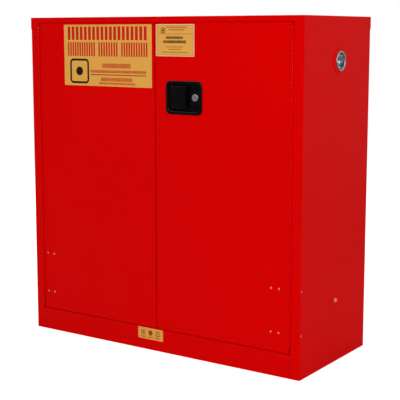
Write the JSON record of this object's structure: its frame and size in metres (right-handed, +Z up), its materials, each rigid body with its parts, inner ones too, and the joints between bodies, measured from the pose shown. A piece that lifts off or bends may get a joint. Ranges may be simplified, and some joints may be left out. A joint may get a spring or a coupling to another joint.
{
  "type": "flammable storage cabinet",
  "caption": "Double-wall steel safety cabinet for flammable liquids, with inset doors, recessed paddle latch with lock, vents, adjustable shelf and leak-proof sill.",
  "frame": {"origin": "centre of the footprint on the floor", "axes": "+Z up, doors face -Y, +X towards the right of a person facing the doors"},
  "size_m": [1.1006, 0.4617, 1.118],
  "materials": {
    "red_paint": "satin red powder coat",
    "galvanized_steel": "spangled galvanized",
    "zinc_plated_steel": "clear zinc plate",
    "bright_zinc": "bright zinc",
    "screen_wire": "woven wire",
    "painted_rivet": "gloss red paint over a rivet head",
    "black_finish": "fine black texture coat",
    "spring_steel": "oiled wire",
    "chrome_plate": "polished",
    "gold_label": "satin printed polyester"
  },
  "bodies": {
    "cabinet": {"outer_left_side": "red_paint", "outer_right_side": "red_paint", "outer_back": "red_paint", "top_cap": "red_paint", "front_header": "red_paint", "base_front_rail": "red_paint", "base_pan": "red_paint", "left_door_jamb": "red_paint", "right_door_jamb": "red_paint", "inner_left_side": "red_paint", "inner_right_side": "red_paint", "inner_back": "red_paint", "inner_top": "red_paint", "sump_tray": "red_paint", "left_hinge_frame_leaf": "red_paint", "right_hinge_frame_leaf": "red_paint", "left_hinge_pin": "zinc_plated_steel", "right_hinge_pin": "zinc_plated_steel", "left_shelf_standards": "galvanized_steel", "right_shelf_standards": "galvanized_steel", "shelf_clips": "galvanized_steel", "left_vent_sleeve": "red_paint", "right_vent_sleeve": "red_paint", "flame_arrester_screens": "screen_wire", "ground_screw": "bright_zinc", "ground_nut": "zinc_plated_steel", "jamb_rivets": "painted_rivet", "bolt_strikes": "zinc_plated_steel", "sill_label": "gold_label"},
    "left_door": {"left_door_outer_skin": "red_paint", "left_door_inner_skin": "red_paint", "left_hinge_door_leaf": "red_paint", "left_door_stiffener": "red_paint", "left_door_rivets": "painted_rivet", "bolt_keeper": "zinc_plated_steel", "warning_placard": "gold_label"},
    "right_door": {"right_door_outer_skin": "red_paint", "right_door_inner_skin": "red_paint", "right_hinge_door_leaf": "red_paint", "right_door_stiffener": "red_paint", "right_door_rivets": "painted_rivet", "specification_label": "gold_label", "latch_housing": "black_finish", "latch_plate": "zinc_plated_steel", "latch_screws": "zinc_plated_steel", "paddle_pin": "zinc_plated_steel", "paddle_spring": "spring_steel", "hub_stud": "zinc_plated_steel", "rod_guides": "zinc_plated_steel", "lock_barrel": "chrome_plate"},
    "paddle": {"paddle": "black_finish"},
    "lock_core": {"lock_plug": "chrome_plate", "lock_cam": "zinc_plated_steel"},
    "bolt_hub": {"bolt_hub": "zinc_plated_steel"},
    "upper_rod": {"upper_rod": "zinc_plated_steel"},
    "lower_rod": {"lower_rod": "zinc_plated_steel"},
    "centre_bolt": {"centre_bolt": "zinc_plated_steel"},
    "left_vent_plug": {"left_vent_plug": "bright_zinc"},
    "right_vent_plug": {"right_vent_plug": "bright_zinc"},
    "shelf": {"shelf": "galvanized_steel"}
  },
  "joints": [
    {"name": "left_door_swing", "type": "hinge", "parent": "cabinet", "child": "left_door", "pos_m": [-0.5085, -0.2304, 0.594], "axis": [0, 0, -1], "range_deg": [0, 180]},
    {"name": "right_door_swing", "type": "hinge", "parent": "cabinet", "child": "right_door", "pos_m": [0.5085, -0.2304, 0.594], "axis": [0, 0, 1], "range_deg": [0, 180]},
    {"name": "paddle_pull", "type": "hinge", "parent": "right_door", "child": "paddle", "pos_m": [0.062, -0.2229, 0.859], "axis": [0, 0, -1], "range_deg": [0, 35], "stiffness_Nm_per_rad": 0.05, "springref_deg": -17.19},
    {"name": "key_turn", "type": "hinge", "parent": "right_door", "child": "lock_core", "pos_m": [0.1556, -0.2313, 0.861], "axis": [0, 1, 0], "range_deg": [0, 90]},
    {"name": "bolt_hub_turn", "type": "hinge", "parent": "right_door", "child": "bolt_hub", "pos_m": [0.112, -0.205, 0.859], "axis": [0, -1, 0], "range_deg": [0, 40]},
    {"name": "upper_rod_slide", "type": "slide", "parent": "right_door", "child": "upper_rod", "axis": [0, 0, 1], "range_m": [0, 0.0138]},
    {"name": "lower_rod_slide", "type": "slide", "parent": "right_door", "child": "lower_rod", "axis": [0, 0, -1], "range_m": [0, 0.0138]},
    {"name": "centre_bolt_slide", "type": "slide", "parent": "right_door", "child": "centre_bolt", "axis": [-1, 0, 0], "range_m": [0, 0.0138]},
    {"name": "left_vent_plug_out", "type": "slide", "parent": "cabinet", "child": "left_vent_plug", "axis": [-1, 0, 0], "range_m": [0, 0.06]},
    {"name": "right_vent_plug_out", "type": "slide", "parent": "cabinet", "child": "right_vent_plug", "axis": [1, 0, 0], "range_m": [0, 0.06]},
    {"name": "shelf_lift", "type": "slide", "parent": "cabinet", "child": "shelf", "axis": [0, 0, 1], "range_m": [0, 0.05]}
  ],
  "couplings": [
    {"joint": "upper_rod_slide", "follows": "bolt_hub_turn", "m_per_rad": 0.019596},
    {"joint": "lower_rod_slide", "follows": "bolt_hub_turn", "m_per_rad": 0.019596},
    {"joint": "centre_bolt_slide", "follows": "bolt_hub_turn", "m_per_rad": 0.019596}
  ]
}
